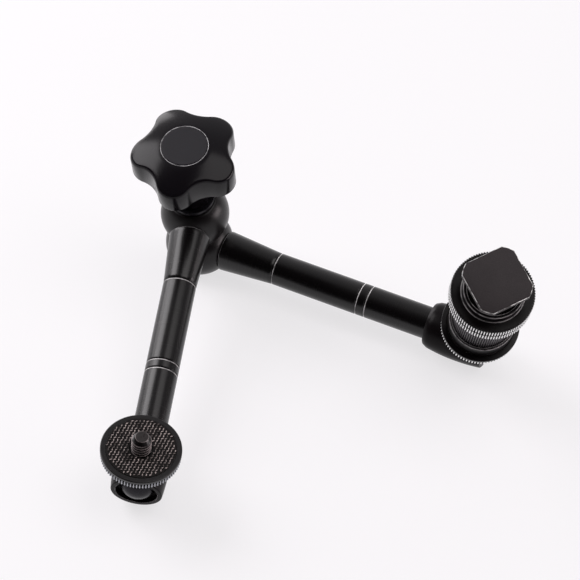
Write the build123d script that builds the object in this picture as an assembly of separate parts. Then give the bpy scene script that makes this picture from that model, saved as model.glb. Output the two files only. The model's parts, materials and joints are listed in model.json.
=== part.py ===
from build123d import *
import os
from math import cos, pi, radians, sin, sqrt, tan

# Articulating friction arm, millimetres. Two round arms meet at an elbow that one star knob clamps.
# Each arm ends in a slotted cup that holds a ball stud with a knurled disc and a 1/4 inch screw.
# A shoe adapter is screwed onto the stud of the shoe arm.

# Elbow frame: origin midway between the two heads, +Z to the knob, +X along the shoe arm.
# Arm frame: origin at the centre of the head, +X along the arm, +Z to the other head.
# Stud frame: origin at the centre of the ball, +Z along the stud.

# Elbow
HEAD_R = 11.55
HEAD_SPACING = 18.0
ELBOW_ANGLE = 74.5
FRICTION_T = 0.8
FRICTION_R = 8.1
BOLT_R = 3.0
BOLT_HEAD_R = 6.0
BOLT_HEAD_T = 3.6
BOLT_HEAD_SUNK = 0.4
BOLT_HEAD_CHAMFER = 0.4
BOLT_CHAMFER = 0.6
BOLT_TOP = 23.0
HEX_ACROSS = 5.0
HEX_DEPTH = 2.0
THRUST_R = 7.4
THRUST_T = 1.5

# Wedge and push rod: a cone on the bolt drives the rod along the arm
WEDGE_ANGLE = 45.0
WEDGE_R = 6.3
WEDGE_MID_R = 4.6
WEDGE_NOSE = 0.9
WEDGE_PROUD = 0.5
WEDGE_POCKET = 0.6
ROD_R = 2.2

# Knob
KNOB_TIP_R = 18.1
KNOB_NOTCH_R = 14.1
KNOB_LOBE_R = 6.0
KNOB_LOBES = 5
KNOB_TURN = -9.5
KNOB_SHOULDER = 35.8
KNOB_RIM_T = 7.8
KNOB_CROWN_RISE = 4.4
KNOB_EDGE = 0.9
KNOB_WALL = 1.8
KNOB_RECESS = 5.5
KNOB_RIB = 1.4
HUB_R = 6.2
HUB_TOP_R = 6.8
CAP_R = 7.5
CAP_GAP = 0.15
CAP_T = 1.6
CAP_PROUD = 0.1
NUT_R = 4.6
NUT_LENGTH = 8.0
BOLT_WAY = 0.2

# Arm tube
TUBE_R = 5.5
TUBE_WALL = 1.2
FLARE_OUT = 1.35
FLARE_MID_OUT = 0.62
FLARE_MID = 20.5
FLARE_LIP = 0.7
GROOVES = (29.2, 60.0, 63.2)
GROOVE_DEPTH = 0.35
GROOVE_HALF = 0.4
SPIGOT_LENGTH = 8.0

# Socket and ball
ARM_LENGTH = 101.5
BALL_R = 6.35
CUP_BACK = 16.0
CUP_FRONT = 4.9
CUP_BACK_WALL = 1.75
CUP_SHOULDER = 1.6
CUP_SHOULDER_OUT = 0.7
CUP_MID = 5.0
CUP_WALL = 2.41
CUP_FRONT_IN = 0.55
CUP_LIP = 0.4
CUP_TUBE_DEPTH = 5.5
MOUTH_OUT = 0.37
MOUTH_DEPTH = 2.2
SLOT_GAP = 1.5
SLOT_END = 0.7
SEAT_BACK = 9.2
SEAT_FRONT = 4.2

# Ball stud, disc, pad and screw, heights above the centre of the ball
NECK_R = 2.9
STUD_FLANGE_R = 6.0
STUD_FLANGE_T = 1.6
STUD_FLANGE_EDGE = 0.5
STUD_SHOULDER = 1.2
SCREW_R = 3.175
SCREW_PROUD = 6.4
SCREW_CHAMFER = 1.1
RELIEF_R = 2.6
RELIEF_END = 0.6
TAIL_R = 1.75
TAIL_LENGTH = 7.0
DISC_TOP = 17.4
DISC_T = 3.8
DISC_R = 12.85
DISC_RIM_T = 1.3
DISC_RIBS = 77
DISC_RIB_DEPTH = 0.45
DISC_EDGE = 0.4
PAD_R = 11.1
PAD_T = 1.6
PAD_PROUD = 0.4
PAD_HOLE_R = 4.2

# Pose of each stud: turn of the slot about the arm and tilt of the stud from the arm
SCREW_SLOT_ANGLE = 172.9
SCREW_TILT = 97.6
SHOE_SLOT_ANGLE = 9.4
SHOE_TILT = 79.2
SHOE_DISC_TURN = 50.5

# Shoe adapter, heights above the disc
COLLAR_R = 10.95
COLLAR_T = 5.8
COLLAR_EDGE = 0.4
STEM_R = 9.9
STEM_TOP = 25.6
STEM_RIBS = 48
STEM_RIB_DEPTH = 0.4
ADAPTER_HOLE_DEPTH = 9.0
SPIGOT_R = 6.0
RING_BOTTOM = 26.1
RING_T = 7.0
RING_R = 13.6
RING_GROOVE_DEPTH = 0.7
RING_GROOVE_T = 1.2
RING_EDGE = 0.4
RING_COLLAR_R = 10.05
RING_COLLAR_TOP_R = 9.4
RING_COLLAR_T = 2.6
RING_RECESS_R = 8.5
RING_RECESS_DEPTH = 2.2
FOOT_TOP = 44.6
FOOT_T = 1.9
FOOT_WIDTH = 18.5
FOOT_ROUND_R = 11.2
FOOT_EDGE = 0.15

# Fits
RUNNING = 0.05
BALL_GAP = 0.09
CONTACT = 0.03
SEATED = 0.02

# How far a cutting solid passes the face that it cuts
PAST = 1.0

# Where the shoe arm points, seen from above, with the part at rest on a table
SHOE_ARM_YAW = -24.6

HEAD_HALF = HEAD_SPACING / 2 - FRICTION_T / 2
HEAD_FLAT_R = sqrt(HEAD_R ** 2 - HEAD_HALF ** 2)
THRUST_LOW = HEAD_HALF + WEDGE_PROUD
HUB_BOTTOM = THRUST_LOW + THRUST_T + RUNNING
BOLT_BORE = BOLT_R + RUNNING
ROD_BORE = ROD_R + RUNNING
ROD_TIP = WEDGE_MID_R + (ROD_R + CONTACT) / cos(radians(WEDGE_ANGLE))
KNOB_UNDERSIDE = KNOB_SHOULDER - KNOB_RIM_T
KNOB_CROWN = KNOB_SHOULDER + KNOB_CROWN_RISE
CROWN_R = (KNOB_TIP_R ** 2 + KNOB_CROWN_RISE ** 2) / (2 * KNOB_CROWN_RISE)
TUBE_BORE = TUBE_R - TUBE_WALL
CUP_BORE = BALL_R + BALL_GAP
CUP_BACK_R = TUBE_R + CUP_BACK_WALL
CUP_SHOULDER_R = CUP_BACK_R + CUP_SHOULDER_OUT
CUP_MID_R = CUP_BORE + CUP_WALL
CUP_FRONT_R = CUP_MID_R - CUP_FRONT_IN
MOUTH_R = BALL_R + MOUTH_OUT
SLOT_HALF = NECK_R + SLOT_GAP
SEAT_R = CUP_BORE - RUNNING
DISC_BASE = DISC_TOP - DISC_T
PAD_TOP = DISC_TOP + PAD_PROUD
PAD_FLOOR = PAD_TOP - PAD_T
THREAD_START = PAD_FLOOR + RELIEF_END

# Middle of a quarter round, as a share of its radius in from each side
ROUND_MID = 1 - cos(pi / 4)


def upright(radius, height):
    """A point of a half section in the XZ plane."""
    return (radius, 0, height)


def turned(*points):
    """A solid turned about Z from the (radius, height) points of its half section."""
    face = make_face(Polyline(*[upright(*point) for point in points], close=True))
    return revolve(face, Axis.Z)


def polar(radius, angle):
    """A point in the XY plane at an angle in radians."""
    return Vector(radius * cos(angle), radius * sin(angle))


def along_x(solid):
    """Lays a solid turned about Z along the arm, height becoming distance."""
    return Rotation(0, 90, 0) * solid


def rod_between(radius, start, end):
    """A round rod along Z from one height to another."""
    return Pos(0, 0, start) * Cylinder(radius, end - start, align=(Align.CENTER, Align.CENTER, Align.MIN))


def ribbed(radius, depth, ribs, start, end):
    """A straight knurl: a round bar whose rim has evenly spaced V grooves."""
    pitch = 2 * pi / ribs
    points = []
    for i in range(ribs):
        points.append((radius * cos(i * pitch), radius * sin(i * pitch)))
        middle = (i + 0.5) * pitch
        points.append(((radius - depth) * cos(middle), (radius - depth) * sin(middle)))
    face = make_face(Polyline(*points, close=True))
    return Pos(0, 0, start) * extrude(face, end - start)


def chamfer_ends(solid, size, radius, start, end):
    """Bevels both ends of a knurled bar with one turned envelope."""
    envelope = turned((0, start), (radius - size, start), (radius, start + size), (radius, end - size),
                      (radius - size, end), (0, end))
    return solid & envelope


# Elbow pieces

def head():
    """Half of the elbow in the arm frame: a ball with two flats, a cone pocket and a spigot for the tube."""
    ball = Sphere(HEAD_R) & Box(2 * HEAD_R, 2 * HEAD_R, 2 * HEAD_HALF)
    spigot_end = sqrt(HEAD_R ** 2 - TUBE_BORE ** 2) + SPIGOT_LENGTH
    body = ball + along_x(rod_between(TUBE_BORE - SEATED, 0, spigot_end))
    body -= rod_between(WEDGE_R + RUNNING, -HEAD_HALF - PAST, WEDGE_NOSE + WEDGE_POCKET)
    body -= rod_between(BOLT_BORE, 0, HEAD_HALF + PAST)
    return body - along_x(rod_between(ROD_BORE, 0, spigot_end + PAST))


def wedge(back):
    """Cone that slides on the bolt in a head, with its back at -back."""
    slope = tan(radians(WEDGE_ANGLE))
    flank_start = (WEDGE_MID_R - WEDGE_R) / slope
    nose_r = WEDGE_MID_R - WEDGE_NOSE * slope
    return turned((BOLT_BORE, -back), (WEDGE_R, -back), (WEDGE_R, flank_start), (nose_r, WEDGE_NOSE),
                  (BOLT_BORE, WEDGE_NOSE))


def clamp_bolt():
    """Bolt through the elbow in the elbow frame, with a round hexagon-socket head in the lower head."""
    head_low = -HEAD_SPACING / 2 - HEAD_HALF + BOLT_HEAD_SUNK
    top = HEAD_SPACING / 2 + BOLT_TOP
    bolt = rod_between(BOLT_HEAD_R, head_low, head_low + BOLT_HEAD_T) + rod_between(BOLT_R, head_low, top)
    bolt = chamfer(bolt.edges().filter_by(GeomType.CIRCLE).sort_by(Axis.Z)[-1], BOLT_CHAMFER)
    bolt = chamfer(bolt.edges().filter_by(GeomType.CIRCLE).sort_by(Axis.Z)[0], BOLT_HEAD_CHAMFER)
    socket = extrude(RegularPolygon(HEX_ACROSS / 2, 6, major_radius=False), HEX_DEPTH)
    return bolt - Pos(0, 0, head_low) * socket


def washer(radius, bore, start, end):
    """A flat ring between two heights."""
    return rod_between(radius, start, end) - rod_between(bore, start - PAST, end + PAST)


# Knob, heights above the centre of the upper head

def lobed_outline(tip_r, notch_r, lobe_r):
    """Star outline of tangent arcs: one convex arc at each lobe and one concave arc at each notch."""
    half = pi / KNOB_LOBES
    lobe_at = tip_r - lobe_r
    reach = lobe_at ** 2 + notch_r ** 2 - 2 * lobe_at * notch_r * cos(half) - lobe_r ** 2
    curve_r = reach / (2 * (lobe_r - notch_r + lobe_at * cos(half)))
    curve_at = notch_r + curve_r
    share = lobe_r / (lobe_r + curve_r)
    edges = []
    for i in range(KNOB_LOBES):
        middle = 2 * half * i
        notch = middle + half
        lobe = polar(lobe_at, middle)
        next_lobe = polar(lobe_at, notch + half)
        before = lobe + (polar(curve_at, middle - half) - lobe) * share
        after = lobe + (polar(curve_at, notch) - lobe) * share
        following = next_lobe + (polar(curve_at, notch) - next_lobe) * share
        edges.append(ThreePointArc(before, polar(tip_r, middle), after))
        edges.append(ThreePointArc(after, polar(notch_r, notch), following))
    return make_face(edges)


def crown_height(radius):
    """Height of the knob's crown at a radius: a shallow dome that meets the shoulder at the lobes' tips."""
    return KNOB_CROWN - CROWN_R + sqrt(CROWN_R ** 2 - radius ** 2)


def knob_body():
    """Moulded star knob: domed star, hollow underside with ribs, and a long hub that holds the nut."""
    star = extrude(lobed_outline(KNOB_TIP_R, KNOB_NOTCH_R, KNOB_LOBE_R), KNOB_CROWN - KNOB_UNDERSIDE)
    star = Pos(0, 0, KNOB_UNDERSIDE) * star
    star &= Pos(0, 0, KNOB_CROWN - CROWN_R) * Sphere(CROWN_R)
    star = fillet(star.edges().filter_by(lambda e: e.center().Z > KNOB_SHOULDER - KNOB_EDGE), KNOB_EDGE)
    hollow = lobed_outline(KNOB_TIP_R - KNOB_WALL, KNOB_NOTCH_R - KNOB_WALL, KNOB_LOBE_R - KNOB_WALL)
    star -= Pos(0, 0, KNOB_UNDERSIDE - PAST) * extrude(hollow, KNOB_RECESS + PAST)
    rib_length = KNOB_NOTCH_R - KNOB_WALL / 2
    rib = Box(rib_length, KNOB_RIB, KNOB_RECESS, align=(Align.MIN, Align.CENTER, Align.MIN))
    for i in range(KNOB_LOBES):
        star += Rotation(0, 0, (i + 0.5) * 360 / KNOB_LOBES) * Pos(0, 0, KNOB_UNDERSIDE + KNOB_EDGE) * rib
    recess_floor = KNOB_UNDERSIDE + KNOB_RECESS
    hub_top = recess_floor + PAST
    star += turned((0, HUB_BOTTOM), (HUB_R, HUB_BOTTOM), (HUB_TOP_R, hub_top), (0, hub_top))
    star -= rod_between(CAP_R + CAP_GAP, crown_height(CAP_R) + CAP_PROUD - CAP_T, KNOB_CROWN + PAST)
    star -= rod_between(NUT_R, HUB_BOTTOM - PAST, HUB_BOTTOM + NUT_LENGTH)
    star -= rod_between(BOLT_R + BOLT_WAY, HUB_BOTTOM, BOLT_TOP + PAST)
    return Rotation(0, 0, KNOB_TURN) * star


def knob_cap():
    """Round plug in the top of the knob, a little proud and slightly domed."""
    low = crown_height(CAP_R) + CAP_PROUD - CAP_T
    cap = rod_between(CAP_R, low, low + CAP_T)
    return fillet(cap.edges().sort_by(Axis.Z)[-1], CAP_GAP)


def knob_nut():
    """Brass insert in the hub, bored for the bolt."""
    return washer(NUT_R, BOLT_BORE, HUB_BOTTOM, HUB_BOTTOM + NUT_LENGTH)


# Arm pieces in the arm frame

def tube():
    """Arm tube: flared end seated on the ball of the head, V grooves, plain far end in the socket."""
    seat_r = HEAD_R + SEATED
    end = ARM_LENGTH - CUP_BACK + CUP_TUBE_DEPTH
    flare_r = TUBE_R + FLARE_OUT
    lip_r = flare_r - FLARE_LIP
    lip_mid_r = (TUBE_BORE + lip_r) / 2
    lip_end = sqrt(seat_r ** 2 - lip_r ** 2)
    bore_start = upright(TUBE_BORE, sqrt(seat_r ** 2 - TUBE_BORE ** 2))
    seat_mid = upright(lip_mid_r, sqrt(seat_r ** 2 - lip_mid_r ** 2))
    lip = upright(lip_r, lip_end)
    lip_round = upright(flare_r - ROUND_MID * FLARE_LIP, lip_end + ROUND_MID * FLARE_LIP)
    flare = upright(flare_r, lip_end + FLARE_LIP)
    flare_mid = upright(TUBE_R + FLARE_MID_OUT, FLARE_MID)
    flare_end = upright(TUBE_R, GROOVES[0] - GROOVE_HALF)
    edges = [ThreePointArc(bore_start, seat_mid, lip), ThreePointArc(lip, lip_round, flare),
             ThreePointArc(flare, flare_mid, flare_end)]
    side = [flare_end]
    for groove in GROOVES:
        side.append(upright(TUBE_R, groove - GROOVE_HALF))
        side.append(upright(TUBE_R - GROOVE_DEPTH, groove))
        side.append(upright(TUBE_R, groove + GROOVE_HALF))
    side += [upright(TUBE_R, end), upright(TUBE_BORE, end), bore_start]
    edges.append(Polyline(*side[1:]))
    return along_x(revolve(make_face(edges), Axis.Z))


def push_rod():
    """Steel rod from the wedge to the ball seat, with a round nose on the cone."""
    back = ARM_LENGTH - SEAT_BACK
    rod = rod_between(ROD_R, ROD_TIP, back) + Pos(0, 0, ROD_TIP) * Sphere(ROD_R)
    return along_x(rod)


def ball_seat():
    """Brass plug that the rod presses on the ball."""
    plug = rod_between(SEAT_R, ARM_LENGTH - SEAT_BACK, ARM_LENGTH - SEAT_FRONT)
    return along_x(plug - Pos(0, 0, ARM_LENGTH) * Sphere(BALL_R + CONTACT))


def cup_outline():
    """Half section of the cup's outside from its back to its rounded lip, as edges in the XZ plane."""
    back = ARM_LENGTH - CUP_BACK
    front = ARM_LENGTH + CUP_FRONT
    shoulder = upright(CUP_SHOULDER_R, back + CUP_SHOULDER)
    lip = upright(CUP_FRONT_R, front - CUP_LIP)
    lip_round = upright(CUP_FRONT_R - ROUND_MID * CUP_LIP, front - ROUND_MID * CUP_LIP)
    barrel = ThreePointArc(shoulder, upright(CUP_MID_R, ARM_LENGTH - CUP_MID), lip)
    rounding = ThreePointArc(lip, lip_round, upright(CUP_FRONT_R - CUP_LIP, front))
    return back, front, shoulder, barrel, rounding


def socket(slot_turn):
    """Slotted cup: the ball goes in at the mouth, and a lip rolled in behind the rim holds it."""
    back, front, shoulder, barrel, rounding = cup_outline()
    edges = [Polyline(upright(0, front), upright(0, back), upright(CUP_BACK_R, back), shoulder), barrel,
             rounding, Line(upright(CUP_FRONT_R - CUP_LIP, front), upright(0, front))]
    cup = revolve(make_face(edges), Axis.Z)
    cup -= rod_between(TUBE_R + SEATED, back - PAST, back + CUP_TUBE_DEPTH)
    cup -= rod_between(CUP_BORE, back + CUP_TUBE_DEPTH, ARM_LENGTH)
    cup -= Pos(0, 0, ARM_LENGTH) * Sphere(CUP_BORE)
    cup -= rod_between(MOUTH_R, front - MOUTH_DEPTH, front + PAST)
    cup = along_x(cup)
    reach = CUP_MID_R + PAST
    length = CUP_FRONT + SLOT_END + PAST
    opening = Pos(ARM_LENGTH - SLOT_END, 0, 0) * Box(length, 2 * SLOT_HALF, reach,
                                                     align=(Align.MIN, Align.CENTER, Align.MIN))
    opening += Pos(ARM_LENGTH - SLOT_END, 0, 0) * rod_between(SLOT_HALF, 0, reach)
    return Rotation(slot_turn, 0, 0) * (cup - opening)


# Stud pieces in the stud frame

def ball_stud():
    """Ball, neck and flange in one, bored from above for the screw."""
    flange_low = DISC_BASE - STUD_FLANGE_T
    neck = turned((0, 0), (NECK_R, 0), (NECK_R, flange_low - STUD_SHOULDER),
                  (STUD_FLANGE_R - STUD_FLANGE_EDGE, flange_low), (STUD_FLANGE_R, flange_low),
                  (STUD_FLANGE_R, DISC_BASE), (0, DISC_BASE))
    return Sphere(BALL_R) + neck - rod_between(TAIL_R + SEATED, DISC_BASE - TAIL_LENGTH, DISC_BASE + PAST)


def screw():
    """1/4 inch screw: a bevelled end, a relief inside the disc and a thinner tail set in the stud."""
    top = DISC_TOP + SCREW_PROUD
    tail = DISC_BASE - TAIL_LENGTH
    return turned((0, tail), (TAIL_R, tail), (TAIL_R, DISC_BASE), (RELIEF_R, DISC_BASE),
                  (RELIEF_R, THREAD_START), (SCREW_R, THREAD_START), (SCREW_R, top - SCREW_CHAMFER),
                  (SCREW_R - SCREW_CHAMFER, top), (0, top))


def disc():
    """Knurled disc with a plain rim above its ribs and a shallow recess for the pad."""
    ribs = ribbed(DISC_R, DISC_RIB_DEPTH, DISC_RIBS, DISC_BASE, DISC_TOP - DISC_RIM_T)
    rim = rod_between(DISC_R, DISC_TOP - DISC_RIM_T, DISC_TOP)
    body = chamfer_ends(ribs + rim, DISC_EDGE, DISC_R, DISC_BASE, DISC_TOP)
    body -= rod_between(PAD_R + SEATED, PAD_FLOOR, DISC_TOP + PAST)
    return body - rod_between(SCREW_R + RUNNING, DISC_BASE - PAST, DISC_TOP)


def pad():
    """Rubber pad in the disc, a little proud of its rim."""
    return washer(PAD_R, PAD_HOLE_R, PAD_FLOOR, PAD_TOP)


# Shoe adapter in the stud frame

def adapter_base():
    """Collar, ribbed stem and spigot in one, with a blind hole for the screw."""
    base = turned((0, PAD_PROUD), (COLLAR_R - COLLAR_EDGE, PAD_PROUD), (COLLAR_R, PAD_PROUD + COLLAR_EDGE),
                  (COLLAR_R, COLLAR_T - COLLAR_EDGE), (COLLAR_R - COLLAR_EDGE, COLLAR_T), (0, COLLAR_T))
    base += ribbed(STEM_R, STEM_RIB_DEPTH, STEM_RIBS, COLLAR_T, STEM_TOP)
    base += rod_between(SPIGOT_R, STEM_TOP, FOOT_TOP - FOOT_T)
    base -= rod_between(SCREW_R + SEATED, -PAST, ADAPTER_HOLE_DEPTH)
    return Pos(0, 0, DISC_TOP) * base


def clamp_ring():
    """Knurled ring on the spigot: two bands parted by a groove, and a raised collar with a recess."""
    top = RING_BOTTOM + RING_T
    middle = RING_BOTTOM + RING_T / 2
    band = (RING_T - RING_GROOVE_T) / 2
    inner = RING_R - RING_GROOVE_DEPTH
    collar_top = top + RING_COLLAR_T
    ring = turned((SPIGOT_R + RUNNING, RING_BOTTOM), (RING_R - RING_EDGE, RING_BOTTOM),
                  (RING_R, RING_BOTTOM + RING_EDGE), (RING_R, RING_BOTTOM + band), (inner, middle),
                  (RING_R, top - band), (RING_R, top - RING_EDGE), (RING_R - RING_EDGE, top),
                  (RING_COLLAR_R, top), (RING_COLLAR_TOP_R, collar_top), (SPIGOT_R + RUNNING, collar_top))
    ring -= rod_between(RING_RECESS_R, collar_top - RING_RECESS_DEPTH, collar_top + PAST)
    return Pos(0, 0, DISC_TOP) * ring


def shoe_foot():
    """Flat shoe foot: a square plate with its corners rounded off by one circle."""
    plate = Rectangle(FOOT_WIDTH, FOOT_WIDTH) & Circle(FOOT_ROUND_R)
    plate = extrude(plate, FOOT_T)
    plate = chamfer(plate.edges().group_by(Axis.Z)[-1], FOOT_EDGE)
    plate = chamfer(plate.edges().group_by(Axis.Z)[0], FOOT_EDGE)
    return Pos(0, 0, DISC_TOP + FOOT_TOP - FOOT_T) * plate


# Placing

def arm_frame(angle, up):
    """Arm frame in the elbow frame: up is 1 for the lower head and -1 for the upper one."""
    direction = (cos(radians(angle)), sin(radians(angle)), 0)
    return Plane((0, 0, -up * HEAD_SPACING / 2), x_dir=direction, z_dir=(0, 0, up)).location


def stud_frame(slot_turn, tilt):
    """Stud frame in the arm frame."""
    return Pos(ARM_LENGTH, 0, 0) * Rotation(slot_turn, 0, 0) * Rotation(0, 90 - tilt, 0)


SHOE_ARM = arm_frame(0, 1)
SCREW_ARM = arm_frame(-ELBOW_ANGLE, -1)
KNOB_FRAME = Pos(0, 0, HEAD_SPACING / 2)
SCREW_STUD = SCREW_ARM * stud_frame(SCREW_SLOT_ANGLE, SCREW_TILT)
SHOE_STUD = SHOE_ARM * stud_frame(SHOE_SLOT_ANGLE, SHOE_TILT)


def pieces():
    """Every node in the elbow frame."""
    parts = {
        "lower_head": SHOE_ARM * head(),
        "upper_head": SCREW_ARM * head(),
        "friction_washer": washer(FRICTION_R, BOLT_BORE, -FRICTION_T / 2, FRICTION_T / 2),
        "clamp_bolt": clamp_bolt(),
        "lower_wedge": SHOE_ARM * wedge(HEAD_HALF - BOLT_HEAD_SUNK - BOLT_HEAD_T),
        "upper_wedge": SCREW_ARM * wedge(THRUST_LOW),
        "thrust_washer": KNOB_FRAME * washer(THRUST_R, BOLT_BORE, THRUST_LOW, THRUST_LOW + THRUST_T),
        "knob_body": KNOB_FRAME * knob_body(),
        "knob_cap": KNOB_FRAME * knob_cap(),
        "knob_nut": KNOB_FRAME * knob_nut(),
        "adapter_base": SHOE_STUD * adapter_base(),
        "clamp_ring": SHOE_STUD * clamp_ring(),
        "shoe_foot": SHOE_STUD * Rotation(0, 0, SHOE_DISC_TURN) * shoe_foot(),
    }
    ends = {"screw": (SCREW_ARM, SCREW_STUD, SCREW_SLOT_ANGLE),
            "shoe": (SHOE_ARM, SHOE_STUD, SHOE_SLOT_ANGLE)}
    for name, (arm, stud, slot_turn) in ends.items():
        parts[name + "_tube"] = arm * tube()
        parts[name + "_push_rod"] = arm * push_rod()
        parts[name + "_ball_seat"] = arm * ball_seat()
        parts[name + "_socket"] = arm * socket(slot_turn)
        parts[name + "_ball_stud"] = stud * ball_stud()
        parts[name + "_quarter_screw"] = stud * screw()
        parts[name + "_disc"] = stud * disc()
        parts[name + "_pad"] = stud * pad()
    return parts


def support_rings():
    """Circles of the three places that can touch the table, each a list of (centre, axis, radius)."""
    low_flat = [(Vector(0, 0, -HEAD_SPACING / 2 - HEAD_HALF), Vector(0, 0, 1), HEAD_FLAT_R)]
    _, _, _, barrel, rounding = cup_outline()
    steps = 20
    profile = [edge @ (i / steps) for edge in (barrel, rounding) for i in range(steps + 1)]
    cups = []
    for arm in (SHOE_ARM, SCREW_ARM):
        along = Plane(arm).x_dir
        cups.append([(Plane(arm).origin + along * p.Z, along, p.X) for p in profile])
    return [low_flat] + cups


def table_normal():
    """Up direction at rest, in the elbow frame: square to the plane that touches all three supports."""
    up = Vector(0, 0.2, 1).normalized()
    supports = support_rings()
    for _ in range(12):
        touching = []
        for rings in supports:
            lows = []
            for centre, axis, radius in rings:
                side = (up - axis * up.dot(axis)).normalized()
                lows.append(centre - side * radius)
            touching.append(min(lows, key=lambda p: p.dot(up)))
        up = (touching[1] - touching[0]).cross(touching[2] - touching[0]).normalized()
        if up.Z < 0:
            up = -up
    return up


def rest_location(parts):
    """Turns the elbow frame onto the table and moves the origin to the middle of the base."""
    up = table_normal()
    shoe_arm = Vector(1, 0, 0)
    ahead = (shoe_arm - up * up.dot(shoe_arm)).normalized()
    standing = Plane((0, 0, 0), x_dir=ahead, z_dir=up).location.inverse()
    turned_down = Rotation(0, 0, SHOE_ARM_YAW) * standing
    box = Compound([turned_down * solid for solid in parts.values()]).bounding_box()
    return Pos(-box.center().X, -box.center().Y, -box.min.Z) * turned_down


def build():
    """All nodes at rest in the part's own frame, and the placing of the elbow frame in it."""
    parts = pieces()
    place = rest_location(parts)
    return {name: place * solid for name, solid in parts.items()}, place


NODES, PLACE = build()
os.makedirs("parts", exist_ok=True)
for node, solid in NODES.items():
    export_step(solid, f"parts/{node}.step")
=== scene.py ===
import json
from math import acos, asin, atan2, cos, degrees, pi, radians, sin, sqrt, tau

import bmesh
import bpy
from mathutils import Matrix, Vector


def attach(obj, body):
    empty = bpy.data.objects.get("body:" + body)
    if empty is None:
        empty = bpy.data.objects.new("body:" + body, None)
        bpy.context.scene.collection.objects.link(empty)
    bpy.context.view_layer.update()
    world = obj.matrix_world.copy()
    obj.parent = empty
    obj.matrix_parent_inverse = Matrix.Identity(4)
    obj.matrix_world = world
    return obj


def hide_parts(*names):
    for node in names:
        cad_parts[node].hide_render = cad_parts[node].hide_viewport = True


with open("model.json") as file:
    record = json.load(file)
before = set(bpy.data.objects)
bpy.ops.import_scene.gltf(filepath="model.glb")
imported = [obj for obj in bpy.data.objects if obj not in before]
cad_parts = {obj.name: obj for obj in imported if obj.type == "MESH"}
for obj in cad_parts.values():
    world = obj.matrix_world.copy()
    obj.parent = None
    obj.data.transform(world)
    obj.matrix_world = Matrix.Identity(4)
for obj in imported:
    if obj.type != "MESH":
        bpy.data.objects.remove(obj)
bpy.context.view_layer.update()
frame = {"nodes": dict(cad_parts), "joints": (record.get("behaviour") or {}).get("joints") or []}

MM = 0.001

# Places taken from the frame's joints

JOINTS = {joint["name"]: joint for joint in frame["joints"]}


def joint_axis(name):
    return Vector(JOINTS[name]["axis"]).normalized()


def joint_point(name):
    return Vector(JOINTS[name]["pos_m"])


def placed(origin, up, ahead):
    """Local frame with Z along up and X as near to ahead as it can be."""
    z = up.normalized()
    x = (ahead - z * z.dot(ahead)).normalized()
    y = z.cross(x)
    return Matrix.Translation(origin) @ Matrix((x, y, z)).transposed().to_4x4()


HEAD_SPACING = 18.0
CLAMP_AXIS = joint_axis("elbow_swing")
ELBOW = joint_point("elbow_swing")
SHOE_ARM = -joint_axis("shoe_rod_slide")
SCREW_ARM = -joint_axis("screw_rod_slide")
UPPER = ELBOW + CLAMP_AXIS * HEAD_SPACING / 2 * MM
LOWER = ELBOW - CLAMP_AXIS * HEAD_SPACING / 2 * MM
SCREW_BALL = joint_point("screw_tilt")
SHOE_BALL = joint_point("shoe_tilt")
SCREW_TILT = joint_axis("screw_tilt")
SHOE_TILT = joint_axis("shoe_tilt")
SCREW_AXIS = joint_axis("screw_disc_turn")
SHOE_AXIS = joint_axis("shoe_head_turn")

KNOB_FRAME = placed(UPPER, CLAMP_AXIS, SHOE_ARM)
UPPER_HEAD = placed(UPPER, -CLAMP_AXIS, SCREW_ARM)
LOWER_HEAD = placed(LOWER, CLAMP_AXIS, SHOE_ARM)
UPPER_TUBE = placed(UPPER, SCREW_ARM, CLAMP_AXIS)
LOWER_TUBE = placed(LOWER, SHOE_ARM, CLAMP_AXIS)
SCREW_CUP = placed(SCREW_BALL, SCREW_ARM, SCREW_TILT.cross(SCREW_ARM))
SHOE_CUP = placed(SHOE_BALL, SHOE_ARM, SHOE_TILT.cross(SHOE_ARM))
SCREW_STUD = placed(SCREW_BALL, SCREW_AXIS, SCREW_TILT.cross(SCREW_AXIS))
SHOE_STUD = placed(SHOE_BALL, SHOE_AXIS, SHOE_TILT.cross(SHOE_AXIS))

# Fits, millimetres

RUNNING = 0.05
SEATED = 0.02

# Elbow sizes, millimetres

HEAD_R = 11.55
HEAD_HALF = 8.6
FRICTION_R = 8.1
FRICTION_T = 0.8
THRUST_R = 7.4
THRUST_LOW = 9.1
THRUST_T = 1.5
BOLT_BORE = 3.05
WEDGE_POCKET_R = 6.35
WEDGE_POCKET_END = 1.5

# Tube sizes, heights above the centre of the head

TUBE_R = 5.5
TUBE_BORE = 4.3
TUBE_END = 91.0
FLARE_R = 6.85
FLARE_LIP = 0.7
FLARE_LIP_R = FLARE_R - FLARE_LIP
FLARE_MID = (6.12, 20.5)
GROOVES = (29.2, 60.0, 63.2)
GROOVE_DEPTH = 0.35
GROOVE_HALF = 0.34

# Cup sizes, heights above the centre of the ball

BALL_R = 6.35
CUP_BORE = 6.44
CUP_BACK = -16.0
CUP_BACK_R = 7.25
CUP_SHOULDER_R = 7.95
CUP_SHOULDER = 1.6
CUP_MID = (8.85, -5.0)
CUP_FRONT = 4.9
CUP_FRONT_R = 8.3
CUP_LIP = 0.4
CUP_TUBE_DEPTH = 5.5
MOUTH_R = 6.72
MOUTH_FLOOR = 2.7
SLOT_HALF = 4.4
SLOT_END = -0.7
SLOT_EDGE = 0.22
SLOT_REACH = 12.0
SLOT_PAST = 3.0

# Stud, disc, pad and screw sizes, heights above the centre of the ball

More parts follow.
